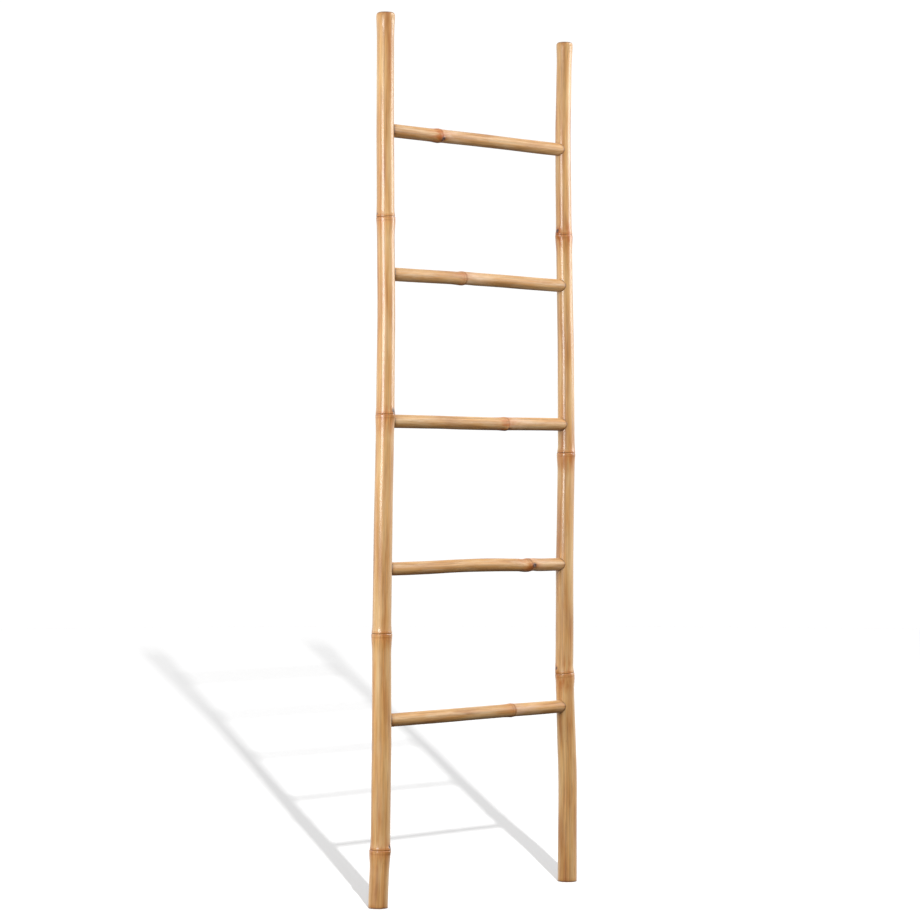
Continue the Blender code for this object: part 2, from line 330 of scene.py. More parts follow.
def draw_outline(name, outline):
    """A chain of edges, extruded from point to point."""
    pick_none()
    bpy.ops.mesh.primitive_plane_add(size=10 * MM)
    piece = bpy.context.object
    piece.name = piece.data.name = name
    with editing(piece):
        bpy.ops.mesh.merge(type="CENTER")
        pen = Vector()
        for index, (radius, height) in enumerate(outline):
            step = Vector((radius, 0, height)) - pen
            if index == 0:
                bpy.ops.transform.translate(value=step)
            else:
                bpy.ops.mesh.extrude_vertices_move(TRANSFORM_OT_translate={"value": step})
            pen += step
    return piece


def turn(name, outline, spokes):
    """A closed solid spun from an outline round the Z axis."""
    piece = draw_outline(name, outline)
    with editing(piece):
        bpy.ops.mesh.select_all(action="SELECT")
        bpy.ops.mesh.spin(steps=spokes, angle=math.tau, center=(0, 0, 0), axis=(0, 0, 1))
        bpy.ops.mesh.select_all(action="SELECT")
        bpy.ops.mesh.remove_doubles(threshold=WELD)
        bpy.ops.mesh.normals_make_consistent(inside=False)
    return piece


skins = {}
for name, culm in culms.items():
    spokes = POLE_SPOKES if is_pole(culm) else RUNG_SPOKES
    skins[name] = turn(name + "_skin", skin_outline(culm), spokes)
    print(name, "turned:", len(skins[name].data.polygons), "faces")

# %% [markdown]
# ## Taking away the lathe's perfection
#
# A spun shape is perfectly round and every ring is level, which a plant never is. Three
# small changes take that away: the skin swells and dips by a few tenths of a millimetre
# in long, lazy lumps, the rings slant, and a bud pushes out above each ring.
#
# The lumps are a Displace modifier with a cloud texture. An empty, stretched along the
# culm, carries the texture, so the lumps are stretched too. A vertex group keeps the
# sawn ends flat.

# %% Uneven skin
LUMP_SIZE = 22 * MM
LUMP_STRETCH = 6
LUMP_HEIGHT = 0.9 * MM  # from the deepest dip to the highest lump
FLAT_END = 9 * MM
NEXT_LUMPS = 0.3  # metres through the texture from one culm to the next

clouds = bpy.data.textures.new("lumps", "CLOUDS")
clouds.noise_scale = 1.0
clouds.noise_depth = 1


def roughen(piece, culm, place_in_texture):
    """Long lumps over the skin, none at the sawn ends."""
    pick_none()
    bpy.ops.object.empty_add(location=(place_in_texture, 0, 0))
    stretcher = bpy.context.object
    stretcher.scale = (LUMP_SIZE, LUMP_SIZE, LUMP_SIZE * LUMP_STRETCH)
    bpy.context.view_layer.update()
    group = piece.vertex_groups.new(name="uneven")
    for vertex in piece.data.vertices:
        from_end = min(vertex.co.z - culm.low, culm.high - vertex.co.z)
        weight = min(1.0, max(0.0, from_end / FLAT_END - 0.5))
        group.add([vertex.index], weight, "REPLACE")
    apply_modifier(
        piece, "DISPLACE", texture=clouds, texture_coords="OBJECT",
        texture_coords_object=stretcher, vertex_group="uneven",
        mid_level=0.5, strength=LUMP_HEIGHT,
    )
    piece.vertex_groups.clear()
    discard(stretcher)


for index, (name, culm) in enumerate(culms.items()):
    roughen(skins[name], culm, NEXT_LUMPS * index)
    print(name, "is uneven")

# %% [markdown]
# A ring is slanted by turning the few loops of vertices that belong to it, with
# proportional editing on, so that the skin above and below follows smoothly. A bud is
# pushed out of the skin the same way, after the faces under it are subdivided. The
# sides of the bud are wide and its tip is narrow, so it takes two pushes: a wide one
# outwards, and a small one inwards for the dry scar in its middle.

# %% Slanted rings and buds
RING_HALF_WIDTH = 4 * MM
SLANT_REACH = 24 * MM
BUD_REACH = 11 * MM
BUD_HEIGHT = 1.9 * MM
SCAR_REACH = 2.6 * MM
SCAR_DEPTH = 0.9 * MM
UNDER_SCAR = 5 * MM  # the swelling of a bud is highest this far below its scar
RUNG_BUD_SIZE = 0.75  # against a pole's


def select_verts(piece, test):
    """In edit mode: selects only the vertices that pass the test."""
    mesh = bmesh.from_edit_mesh(piece.data)
    for face in mesh.faces:
        face.select = False
    for edge in mesh.edges:
        edge.select = False
    for vertex in mesh.verts:
        vertex.select = test(vertex.co)
    mesh.select_flush(True)
    bmesh.update_edit_mesh(piece.data)


def slant_ring(piece, ring, slant):
    """In edit mode: tips the ring's loops by a rise per unit of X and of Y."""
    select_verts(piece, lambda place: abs(place.z - ring) < RING_HALF_WIDTH)
    for axis, rise in (("Y", slant[0]), ("X", -slant[1])):
        if rise:
            bpy.ops.transform.rotate(
                value=math.atan(rise), orient_axis=axis, center_override=(0, 0, ring),
                use_proportional_edit=True, proportional_edit_falloff="SMOOTH",
                proportional_size=SLANT_REACH,
            )


def push(piece, spot, move, reach):
    """In edit mode: moves the vertex nearest to the spot, and the skin round it with it."""
    mesh = bmesh.from_edit_mesh(piece.data)
    nearest = min((vertex.co - spot).length for vertex in mesh.verts)
    select_verts(piece, lambda place: (place - spot).length <= nearest * 1.0001)
    bpy.ops.transform.translate(
        value=move, use_proportional_edit=True, proportional_edit_falloff="SMOOTH",
        proportional_size=reach,
    )


def bud_spot(culm, ring, node):
    """Where the middle of a node's bud is on an upright culm, and the way out of the skin."""
    angle = math.radians(node.bud_angle)
    outwards = Vector((math.cos(angle), math.sin(angle), 0))
    height = ring + node.bud_rise
    return outwards * skin_radius(culm, height) + Vector((0, 0, height)), outwards


def add_bud(piece, culm, ring, node):
    """In edit mode: one bud over its ring."""
    size = node.bud_size * (1.0 if is_pole(culm) else RUNG_BUD_SIZE)
    spot, outwards = bud_spot(culm, ring, node)
    select_verts(piece, lambda place: (place - spot).length < BUD_REACH * size)
    bpy.ops.mesh.subdivide(number_cuts=2, smoothness=0)
    below = spot - Vector((0, 0, UNDER_SCAR * size))
    push(piece, below, outwards * BUD_HEIGHT * size, BUD_REACH * size)
    push(piece, spot + outwards * BUD_HEIGHT * size / 2, -outwards * SCAR_DEPTH * size, SCAR_REACH)


for name, culm in culms.items():
    piece = skins[name]
    with editing(piece):
        for ring, node in zip(culm.rings, culm.nodes):
            slant_ring(piece, ring, node.slant)
            add_bud(piece, culm, ring, node)
    print(name, "has", len(culm.nodes), "buds,", len(piece.data.polygons), "faces")

# %% [markdown]
# ## Bending it
#
# No culm is straight. A lattice is a cage with a few layers of points, and a mesh inside
# it follows the cage. The cage is put round the straight, upright culm, and each layer
# is slid sideways to the middle that the callipers found at its height. A Curve modifier
# could bend the culm, too, but it would change its length.

# %% Bending with a lattice
LAYER_STEP = 40 * MM
CAGE_WIDTH = 0.1
SAWN_LENGTH = 3 * MM  # of a pole's end, where the callipers would find no true middle
COPED_LENGTH = 12 * MM  # and of a rung's


def centre_line(culm):
    """Heights and centres of the culm, evenly spaced from end to end."""
    count = round((culm.high - culm.low) / LAYER_STEP) + 1
    heights = np.linspace(culm.low, culm.high, count)
    shaped = SAWN_LENGTH if is_pole(culm) else COPED_LENGTH
    inside = np.clip(heights, culm.low + shaped, culm.high - shaped)
    return heights, [culm.measure(height)[0] for height in inside]


def bend(piece, culm):
    """Slides the straight culm's layers to the centre line."""
    heights, centres = culm.line
    length = culm.high - culm.low
    pick_none()
    bpy.ops.object.add(type="LATTICE", location=(0, 0, (culm.low + culm.high) / 2))
    cage = bpy.context.object
    cage.scale = (CAGE_WIDTH, CAGE_WIDTH, length)
    cage.data.points_u = cage.data.points_v = 2
    cage.data.points_w = len(heights)
    cage.data.interpolation_type_w = "KEY_CATMULL_ROM"
    for index, point in enumerate(cage.data.points):
        centre = centres[index // 4]
        point.co_deform.x += centre.x / cage.scale.x
        point.co_deform.y += centre.y / cage.scale.y
    bpy.context.view_layer.update()
    apply_modifier(piece, "LATTICE", object=cage)
    discard(cage)


def lay_down(piece, culm):
    """Turns the upright culm to the way it lies in the rack, in its mesh."""
    pick(piece)
    piece.rotation_euler = culm.lay.to_euler()
    bpy.ops.object.transform_apply(location=False, rotation=True, scale=False)


for name, culm in culms.items():
    culm.line = centre_line(culm)
    bend(skins[name], culm)
    lay_down(skins[name], culm)
    stray = max((centre - culm.middle).xy.length for centre in culm.line[1])
    print(f"{name} strays {1000 * stray:.1f} mm from its mean line")

# %% [markdown]
# ## The finishes get their names
#
# The next steps saw, drill and hollow the culms with Boolean modifiers. A Boolean can
# give each new face the material of the tool that cut it, so the materials are named
# now and get their nodes later.

# %% Empty materials
pole_skin = bpy.data.materials.new("varnished pole bamboo")
rung_skin = bpy.data.materials.new("varnished rung bamboo")
sawn_end = bpy.data.materials.new("sealed sawn bamboo")
inner_wall = bpy.data.materials.new("raw inner bamboo")
beech = bpy.data.materials.new("turned beech dowel")
split_pin = bpy.data.materials.new("split bamboo pin")


def select_faces(piece, test):
    """In edit mode: selects only the faces whose middle and normal pass the test."""
    mesh = bmesh.from_edit_mesh(piece.data)
    for vertex in mesh.verts:
        vertex.select = False
    for face in mesh.faces:
        face.select_set(test(face.calc_center_median(), face.normal))
    bmesh.update_edit_mesh(piece.data)


for name, culm in culms.items():
    piece = skins[name]
    piece.data.materials.append(pole_skin if is_pole(culm) else rung_skin)
    piece.data.materials.append(sawn_end)
    if is_pole(culm):
        with editing(piece):
            select_faces(piece, lambda middle, normal: abs(normal.z) > 0.9)
            piece.active_material_index = 1
            bpy.ops.object.material_slot_assign()
        ends = sum(face.material_index for face in piece.data.polygons)
        print(name, "has", ends, "faces of sawn end")

# %% [markdown]
# ## Cutting the joints
#
# A maker copes each rung: its end is cut to the saddle shape that fits round the pole.
# Here each pole is copied and fattened by the width of a glue line, and the copy cuts
# the rung ends. That gives a true saddle even where a rung meets a swollen node. The
# copy is made before the pole is hollowed, so it cuts like a solid.

# %% Coping the rungs
GLUE_LINE = 0.3 * MM


def cut(piece, tool):
    """Takes the tool's shape out of the piece, and throws the tool away."""
    apply_modifier(
        piece, "BOOLEAN", operation="DIFFERENCE", solver="EXACT",
        material_mode="TRANSFER", object=tool,
    )
    discard(tool)


def fattened_copy(piece, growth, material):
    """A copy of a solid, grown all round, to cut with."""
    copy = piece.copy()
    copy.data = piece.data.copy()
    scene.collection.objects.link(copy)
    copy.data.materials.clear()
    copy.data.materials.append(material)
    with editing(copy):
        bpy.ops.mesh.select_all(action="SELECT")
        bpy.ops.transform.shrink_fatten(value=growth)
    return copy


for number in range(1, RUNG_COUNT + 1):
    rung = skins[f"rung_{number}"]
    for side in SIDES:
        cut(rung, fattened_copy(skins[f"{side}_pole"], GLUE_LINE, sawn_end))
    reach = [vertex.co.x for vertex in rung.data.vertices]
    print(f"rung_{number} now runs from {min(reach):.4f} to {max(reach):.4f} m")

# %% [markdown]
# ## Hollowing
#
# The air inside a culm is turned from an outline of its own and cut out of the solid.
# In a pole the air narrows to a small hole at each node, where the partition was pierced
# so that a preservative could reach all of it. It is open at the foot. A rung is hollow
# from each end to its one partition.

# %% The air inside
WALL = 4.2 * MM
OPEN_END = 5 * MM
PARTITION = (  # mm from the ring, share of the way from the hollow's wall to the hole
    (-7, 0.0), (-4.5, 0.12), (-3, 0.4), (-2, 1.0), (2, 1.0), (3, 0.4), (4.5, 0.12), (7, 0.0),
)
PIERCED_RADIUS = 4 * MM
TOP_PARTITION = 6 * MM
RUNG_PARTITION = 3 * MM
AIR_SPOKES = 48


def pole_air(culm):
    """Outline of a pole's one long hollow."""
    points = [(culm.low - OPEN_END, 0.0), (culm.low + OPEN_END, 0.0)]
    for ring in culm.rings:
        points += [(ring + at * MM, share) for at, share in PARTITION]
    points += [(culm.high - TOP_PARTITION - 6 * MM, 0.0), (culm.high - TOP_PARTITION, 0.8)]
    outline = []
    for height, share in points:
        hollow = np.interp(height, *culm.plain) - WALL
        outline.append((hollow + (PIERCED_RADIUS - hollow) * share, height))
    return [(0.0, outline[0][1])] + outline + [(0.0, outline[-1][1])]


def rung_air(low, high, radius):
    """Outline of one hollow of a rung."""
    return [(0.0, low), (radius, low), (radius, high), (0.0, high)]


def dowel_radius(number, side):
    low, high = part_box(f"dowel_{number}_{side}")
    return (high[1] - low[1]) / 2


def hollow_out(name, outline):
    """Turns the air, bends it with its culm and cuts it out."""
    culm = culms[name]
    air = turn(name + "_air", outline, AIR_SPOKES)
    air.data.materials.append(inner_wall)
    bend(air, culm)
    lay_down(air, culm)
    cut(skins[name], air)


for side in SIDES:
    name = f"{side}_pole"
    hollow_out(name, pole_air(culms[name]))
    print(name, "hollowed:", len(skins[name].data.polygons), "faces")

for number in range(1, RUNG_COUNT + 1):
    name = f"rung_{number}"
    culm = culms[name]
    radius = dowel_radius(number, "left") + GLUE_LINE
    hollow_out(name, rung_air(culm.low - OPEN_END, culm.rings[0] - RUNG_PARTITION / 2, radius))
    hollow_out(name, rung_air(culm.rings[0] + RUNG_PARTITION / 2, culm.high + OPEN_END, radius))
    print(name, "hollowed:", len(skins[name].data.polygons), "faces")

# %% [markdown]
# ## Drilling
#
# Each joint needs two holes in the pole: one towards the rung for the dowel, and a small
# one in the back for the pin that locks it. The dowels and pins of the CAD model say
# where they are. A drill is a cylinder with its place and size given as it is added. So
# many cuts can leave two vertices in one place, so the poles are welded at the end.

# %% Drilling the poles
ALONG = {"X": (0, math.radians(90), 0), "Y": (math.radians(90), 0, 0)}
DRILL_SIDES = 32


def drill(centre, radius, length, axis):
    """A cylinder along X or Y to drill with."""
    pick_none()
    bpy.ops.mesh.primitive_cylinder_add(
        vertices=DRILL_SIDES, radius=radius, depth=length, location=centre, rotation=ALONG[axis]
    )
    bpy.context.object.data.materials.append(sawn_end)
    return bpy.context.object


def middle_of(node):
    low, high = (Vector(corner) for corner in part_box(node))
    return (low + high) / 2, high - low


for number in range(1, RUNG_COUNT + 1):
    for side in SIDES:
        pole = skins[f"{side}_pole"]
        middle, size = middle_of(f"dowel_{number}_{side}")
        cut(pole, drill(middle, size.y / 2 + GLUE_LINE, size.x + GLUE_LINE, "X"))
        middle, size = middle_of(f"pin_{number}_{side}")
        middle.y += OPEN_END / 2
        cut(pole, drill(middle, size.x / 2 + GLUE_LINE, size.y + OPEN_END, "Y"))

for side in SIDES:
    pole = skins[f"{side}_pole"]
    with editing(pole):
        bpy.ops.mesh.select_all(action="SELECT")
        bpy.ops.mesh.remove_doubles(threshold=WELD)
    print(side, "pole drilled:", len(pole.data.polygons), "faces")

# %% [markdown]
# ## Telling the finish where it is
#
# Bamboo's grain runs straight up the culm, follows its bends, and changes near a ring or
# a bud. A material can only do that if it knows where it is on the culm. So each vertex
# gets its place on the straightened culm, its height from the nearest ring, and its way
# from the nearest bud, stored as attributes. They change evenly between vertices, so the
# finish can draw details far smaller than a face. They are stored on the corners of the
# faces, not on the vertices: halfway up an internode the nearest ring changes from the
# one below to the one above, and there one face must be able to end and the next begin.
# The distance from the end is stored, too, for the darker ends of the poles and for the
# painted shade, partly a glue line, where the rungs meet the poles.

# %% Attributes for the finish
SCAR_RADIUS = 2.4 * MM
NEXT_GRAIN = 2.7  # metres through the grain from one culm to the next, so no two are alike
SMOOTH_ANGLE = math.radians(38)  # sharper edges than this stay sharp


def store(piece, name, kind, values):
    attribute = piece.data.attributes.new(name, kind, "CORNER")
    field = "vector" if kind == "FLOAT_VECTOR" else "value"
    attribute.data.foreach_set(field, np.asarray(values, dtype=np.float32).ravel())


def from_end(piece, culm):
    """Distance of each vertex from its pole's nearer end, or of a rung's from the poles."""
    places = np.array([vertex.co for vertex in piece.data.vertices])
    if is_pole(culm):
        return np.minimum(places[:, 2] - culm.low, culm.high - places[:, 2])
    gaps = []
    for side in SIDES:
        centre, radius = culms[f"{side}_pole"].measure(places[:, 2].mean())
        gaps.append(np.hypot(places[:, 0] - centre.x, places[:, 1] - centre.y) - radius)
    return np.minimum(*gaps)


def note_places(piece, culm, index):
    """Stores fibre, from_ring, blush, from_bud and from_end on a finished culm."""
    heights, centres = culm.line
    mesh = piece.data
    place = np.array([culm.unlay @ mesh.vertices[loop.vertex_index].co for loop in mesh.loops])
    for k in (0, 1):
        place[:, k] -= np.interp(place[:, 2], heights, [centre[k] for centre in centres])
    height = place[:, 2]
    rings = np.array(culm.rings)
    middles = np.array([(culm.unlay @ face.center).z for face in mesh.polygons])
    nearest = np.abs(middles[:, None] - rings).argmin(axis=1)
    nearest = np.repeat(nearest, [face.loop_total for face in mesh.polygons])
    slants = np.array([node.slant for node in culm.nodes])[nearest]
    from_ring = height - rings[nearest] - (place[:, :2] * slants).sum(axis=1)

    from_bud = np.zeros_like(place)
    for k, (ring, node) in enumerate(zip(culm.rings, culm.nodes)):
        spot, outwards = bud_spot(culm, ring, node)
        aside = outwards.cross(Vector((0, 0, 1)))
        here = nearest == k
        away = place[here] - np.array(spot)
        size = node.bud_size * SCAR_RADIUS
        from_bud[here] = np.column_stack([away @ aside, away[:, 2], away @ outwards]) / size

    store(piece, "fibre", "FLOAT_VECTOR", place + [0, 0, NEXT_GRAIN * index])
    store(piece, "from_ring", "FLOAT", from_ring)
    store(piece, "blush", "FLOAT", np.array([node.blush for node in culm.nodes])[nearest])
    store(piece, "from_bud", "FLOAT_VECTOR", from_bud)
    ends = from_end(piece, culm)
    store(piece, "from_end", "FLOAT", ends[[loop.vertex_index for loop in mesh.loops]])


for index, (name, culm) in enumerate(culms.items()):
    piece = skins[name]
    note_places(piece, culm, index)
    pick(piece)
    bpy.ops.object.shade_smooth_by_angle(angle=SMOOTH_ANGLE)
    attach(piece, "root")
    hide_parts(name)
    print(name, "knows its grain")

# %% [markdown]
# ## The pins
#
# A pin is a sliver of bamboo, split, shaved round and driven in from the back of the
# pole until it locks the dowel. Driving it bruises its head into a low dome. One pin is
# modelled from a cylinder, with its head inset and raised, and the others are copies.

# %% Ten pins
PIN_SIDES = 20
PIN_SMOOTH_ANGLE = math.radians(50)
HEAD_STANDS = 0.35 * MM  # how far the dome stands out of the pole's back
HEAD_STEPS = ((0.25, 0.45), (0.45, 0.35), (0.5, 0.2))  # mm inset, share of the dome's rise
POINT_INSET = 0.4 * MM
POINT_RISE = 0.2 * MM


def make_pin(name, middle, size):
    """A pin along Y with a bruised head at its +Y end."""
    pick_none()
    bpy.ops.mesh.primitive_cylinder_add(
        vertices=PIN_SIDES, radius=size.x / 2, depth=size.y, location=middle,
        rotation=ALONG["Y"],
    )
    pin = bpy.context.object
    pin.name = pin.data.name = name
    bpy.ops.object.transform_apply(location=True, rotation=True, scale=False)
    with editing(pin):
        bpy.ops.mesh.select_mode(type="FACE")
        select_faces(pin, lambda place, normal: normal.y > 0.9)
        for inset, rise in HEAD_STEPS:
            bpy.ops.mesh.inset(thickness=inset * MM)
            bpy.ops.transform.translate(value=(0, rise * HEAD_STANDS, 0))
        select_faces(pin, lambda place, normal: normal.y < -0.9)
        bpy.ops.mesh.inset(thickness=POINT_INSET)
        bpy.ops.transform.translate(value=(0, -POINT_RISE, 0))
    bpy.ops.object.shade_smooth_by_angle(angle=PIN_SMOOTH_ANGLE)
    pin.data.materials.append(split_pin)
    return pin


first_pin = None
for number in range(1, RUNG_COUNT + 1):
    for side in SIDES:
        node = f"pin_{number}_{side}"
        middle, size = middle_of(node)
        if first_pin is None:
            pin = make_pin("driven_" + node, middle, size)
            first_pin, first_head = pin, middle + Vector((0, size.y / 2, 0))
        else:
            pin = first_pin.copy()
            pin.data = first_pin.data.copy()
            pin.name = pin.data.name = "driven_" + node
            scene.collection.objects.link(pin)
            pick(pin)
            pin.location = middle + Vector((0, size.y / 2, 0)) - first_head
            bpy.ops.object.transform_apply(location=True, rotation=False, scale=False)
        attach(pin, "root")
        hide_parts(node)
print("10 pins,", len(first_pin.data.polygons), "faces each")

# %% [markdown]
# ## Materials: one small helper
#
# Every material here is a set of nodes, added from code. One helper adds a node, sets
# it up and links it, and one function turns a hex colour, as a colour picker gives it,
# into the linear values that Blender's sockets want.

# %% Adding a node
def linear(hex_colour):
    """An sRGB hex colour as linear RGBA."""
    channels = [int(hex_colour[i:i + 2], 16) / 255 for i in (1, 3, 5)]
    return [c / 12.92 if c <= 0.04045 else ((c + 0.055) / 1.055) ** 2.4 for c in channels] + [1.0]


def add(tree, kind, inputs=None, ramp=None, **settings):
    """Adds a shader node and returns its output. An input is a value or another output."""
    made = tree.nodes.new("ShaderNode" + kind)
    for name, value in settings.items():
        setattr(made, name, value)
    for name, value in (inputs or {}).items():
        named = [socket for socket in made.inputs if socket.enabled and socket.name == name]
        socket = named[0] if named else made.inputs[name]
        if isinstance(value, bpy.types.NodeSocket):
            tree.links.new(value, socket)
        else:
            socket.default_value = value
    if ramp:
        stops = made.color_ramp.elements
        while len(stops) < len(ramp):
            stops.new(1.0)
        for stop, (place, colour) in zip(stops, ramp):
            stop.position = place
            stop.color = linear(colour)
    return next(socket for socket in made.outputs if socket.enabled)


def grain(across, along):
    """What to multiply a place in metres by, for features this many mm across and along."""
    return (1 / (across * MM), 1 / (across * MM), 1 / (along * MM))


print("honey is", [round(v, 3) for v in linear("#ca9764")])

# %% [markdown]
# ## Varnished bamboo
#
# Bamboo's skin is a hard, smooth rind over bundles of long fibres. Dried, steamed and
# varnished, it is the colour of honey, with drifts of paler and browner skin as long as
# a hand, faint streaks about a millimetre wide that run the whole length of an
# internode, and fine fibre lines between them. The varnish gives it a clear, satin coat
# that mirrors a lamp as one long bright line.
#
# Two things keep it from looking moulded: a dusty bloom, which the varnish has caught in
# pale patches, and dirt that is rubbed in along the fibres. The rungs have more of both,
# and less varnish, so they are duller than the poles.
#
# At each node there is a dark scar line, a paler band under it, and a red brown blush
# in broken patches. On a rung the skin past the ring is paler. The dry scar of the bud
# is dark brown. The poles are darker near their ends, and a rung's ends are painted
# darker where they meet the poles, as shade in the crevice and partly a glue line.
#
# All of these are layers of one colour, each put on the last by a noise that is stretched
# along the fibres or by a distance that is stored on the mesh.

# %% The skin of a culm
def build_skin(material, tones, bloom, dirt, halo, roughness, coat, coat_roughness, sheen):
    """Cured bamboo under varnish. bloom, dirt and halo are shares of their full strength."""
    deep, honey, pale = tones
    material.use_nodes = True
    tree = material.node_tree
    shader = tree.nodes["Principled BSDF"]
    fibre, from_bud = (
        add(tree, "Attribute", attribute_name=name).node.outputs["Vector"]
        for name in ("fibre", "from_bud")
    )
    from_ring, blush, from_the_end = (
        add(tree, "Attribute", attribute_name=name).node.outputs["Fac"]
        for name in ("from_ring", "blush", "from_end")
    )

    def noise(across, along, detail=2.0, roughness=0.5):
        place = add(tree, "VectorMath", {0: fibre, 1: grain(across, along)}, operation="MULTIPLY")
        inputs = {"Vector": place, "Scale": 1.0, "Detail": detail, "Roughness": roughness}
        return add(tree, "TexNoise", inputs)

    # colour drifts, a hand long
    drift = noise(11, 120, detail=3)
    colour = add(tree, "ValToRGB", {"Fac": drift}, ramp=((0.30, deep), (0.5, honey), (0.72, pale)))

    # streaks the length of an internode, and fibres drawn coarser than real ones, to show
    for across, along, low, high in ((2.2, 260, 0.80, 1.12), (0.7, 60, 0.88, 1.08)):
        shade = add(tree, "MapRange", {
            "Value": noise(across, along), "From Min": 0.3, "From Max": 0.7,
            "To Min": low, "To Max": high,
        })
        colour = add(tree, "VectorMath", {0: colour, "Scale": shade}, operation="SCALE")

    # dusty bloom left on the skin, and dirt rubbed along the fibres
    for across, along, low, high, amount, tone in (
        (8, 70, 0.46, 0.66, bloom, "#ecd3ab"), (1.6, 60, 0.54, 0.72, dirt, "#85572c"),
    ):
        patch = add(tree, "MapRange", {
            "Value": noise(across, along, detail=5, roughness=0.65), "From Min": low,
            "From Max": high, "To Min": 0.0, "To Max": amount,
        })
        colour = add(tree, "Mix", {"Factor": patch, "A": colour, "B": linear(tone)},
                     data_type="RGBA")

    # the ring: the line wanders by half a millimetre round the culm
    wander = add(tree, "Math", {0: noise(7, 40), 1: 1.4 * MM, 2: -0.7 * MM},
                 operation="MULTIPLY_ADD")
    at = add(tree, "Math", {0: from_ring, 1: wander}, operation="ADD")
    at = add(tree, "MapRange", {"Value": at, "From Min": -40 * MM, "From Max": 20 * MM})
    tint = add(tree, "ValToRGB", {"Fac": at}, ramp=(
        (0.0, "#ffffff"), (0.35, "#fffaf2"), (0.52, "#ffeedd"), (0.57, "#e6c8ac"),
        (0.60, "#fff6e8"), (0.632, "#dcae7c"), (0.645, "#fff2df"), (0.652, "#c9a172"),
        (0.662, "#7c6044"), (0.672, "#8b6c4c"), (0.684, "#f7dcb4"), (0.70, "#fff4e2"),
        (0.715, "#dfb888"), (0.74, "#ffffff"), (1.0, "#ffffff"),
    ))
    colour = add(tree, "Mix", {"Factor": 0.85, "A": colour, "B": tint},
                 data_type="RGBA", blend_type="MULTIPLY")

    # the blush: broken patches that fade away from the ring
    near = add(tree, "Math", {0: from_ring, 1: -4 * MM}, operation="SUBTRACT")
    near = add(tree, "Math", {0: near}, operation="ABSOLUTE")
    near = add(tree, "MapRange", {"Value": near, "From Min": 4 * MM, "From Max": 42 * MM,
                                  "To Min": 1.0, "To Max": 0.0}, interpolation_type="SMOOTHSTEP")
    patches = add(tree, "MapRange", {"Value": noise(7, 26, detail=3), "From Min": 0.42,
                                     "From Max": 0.62})
    amount = add(tree, "Math", {0: near, 1: patches}, operation="MULTIPLY")
    amount = add(tree, "Math", {0: amount, 1: blush}, operation="MULTIPLY")
    colour = add(tree, "Mix", {"Factor": amount, "A": colour, "B": linear("#bd6a20")},
                 data_type="RGBA")

    # paler, pinker skin past the ring, where the sheath kept the sun off
    start = add(tree, "MapRange", {"Value": from_ring, "From Min": 1 * MM, "From Max": 4 * MM})
    stop = add(tree, "MapRange", {"Value": from_ring, "From Min": 15 * MM, "From Max": 75 * MM,
                                  "To Min": 1.0, "To Max": 0.0})
    past = add(tree, "MapRange", {"Value": noise(8, 35), "From Min": 0.35, "From Max": 0.6,
                                  "To Min": 0.0, "To Max": halo})
    past = add(tree, "Math", {0: past, 1: start}, operation="MULTIPLY")
    past = add(tree, "Math", {0: past, 1: stop}, operation="MULTIPLY")
    colour = add(tree, "Mix", {"Factor": past, "A": colour, "B": linear("#f0cdb0")},
                 data_type="RGBA")

    # the bud's dry scar, a little taller than wide
    reach = add(tree, "VectorMath", {0: from_bud, 1: (1.0, 0.7, 0.7)}, operation="MULTIPLY")
    reach = add(tree, "VectorMath", {0: reach}, operation="LENGTH")
    reach = add(tree, "Math", {0: noise(1.5, 2.5), 1: 0.9, 2: reach}, operation="MULTIPLY_ADD")
    reach = add(tree, "Math", {0: reach, 1: 0.25}, operation="MULTIPLY")
    scar = add(tree, "ValToRGB", {"Fac": reach}, ramp=(
        (0.0, "#4a3e30"), (0.25, "#64523c"), (0.36, "#9c845f"), (0.45, "#dcc6a6"),
        (0.55, "#f4e6d2"), (0.8, "#ffffff"),
    ))
    colour = add(tree, "Mix", {"Factor": 1.0, "A": colour, "B": scar},
                 data_type="RGBA", blend_type="MULTIPLY")

    # age spots, half a millimetre wide and a hand apart
    spots = add(tree, "VectorMath", {0: fibre, 1: grain(9, 22)}, operation="MULTIPLY")
    spots = add(tree, "TexVoronoi", {"Vector": spots, "Scale": 1.0})
    spots = add(tree, "MapRange", {"Value": spots, "From Min": 0.03, "From Max": 0.07,
                                   "To Min": 0.55, "To Max": 0.0})
    colour = add(tree, "Mix", {"Factor": spots, "A": colour, "B": linear("#7d4f2b")},
                 data_type="RGBA")

    # darker within 8 mm of a pole's ends, and at a rung's ends next to the poles, where it is painted
    # shade of the crevice and partly a dark glue line
    darker_ends = add(tree, "MapRange", {"Value": from_the_end, "From Min": 0.0, "From Max": 8 * MM})
    darker_ends = add(tree, "ValToRGB", {"Fac": darker_ends}, ramp=(
        (0.0, "#6a5a48"), (0.13, "#8f7c66"), (0.28, "#dcc8ac"), (0.55, "#f6ecdc"), (1.0, "#ffffff"),
    ))
    colour = add(tree, "Mix", {"Factor": 0.85, "A": colour, "B": darker_ends},
                 data_type="RGBA", blend_type="MULTIPLY")
    tree.links.new(colour, shader.inputs["Base Color"])

    # fibre ridges under the varnish, and a rougher skin where it is paler
    fine = noise(0.6, 90, detail=1)
    bump = add(tree, "Bump", {"Height": fine, "Strength": 0.3, "Distance": 0.05 * MM})
    tree.links.new(bump, shader.inputs["Normal"])
    rough = add(tree, "MapRange", {"Value": drift, "From Min": 0.3, "From Max": 0.7,
                                   "To Min": roughness - 0.05, "To Max": roughness + 0.08})
    tree.links.new(rough, shader.inputs["Roughness"])
    shader.inputs["IOR"].default_value = 1.5
    shader.inputs["Coat Weight"].default_value = coat
    shader.inputs["Coat Roughness"].default_value = coat_roughness
    shader.inputs["Sheen Weight"].default_value = sheen
    shader.inputs["Sheen Roughness"].default_value = 0.4


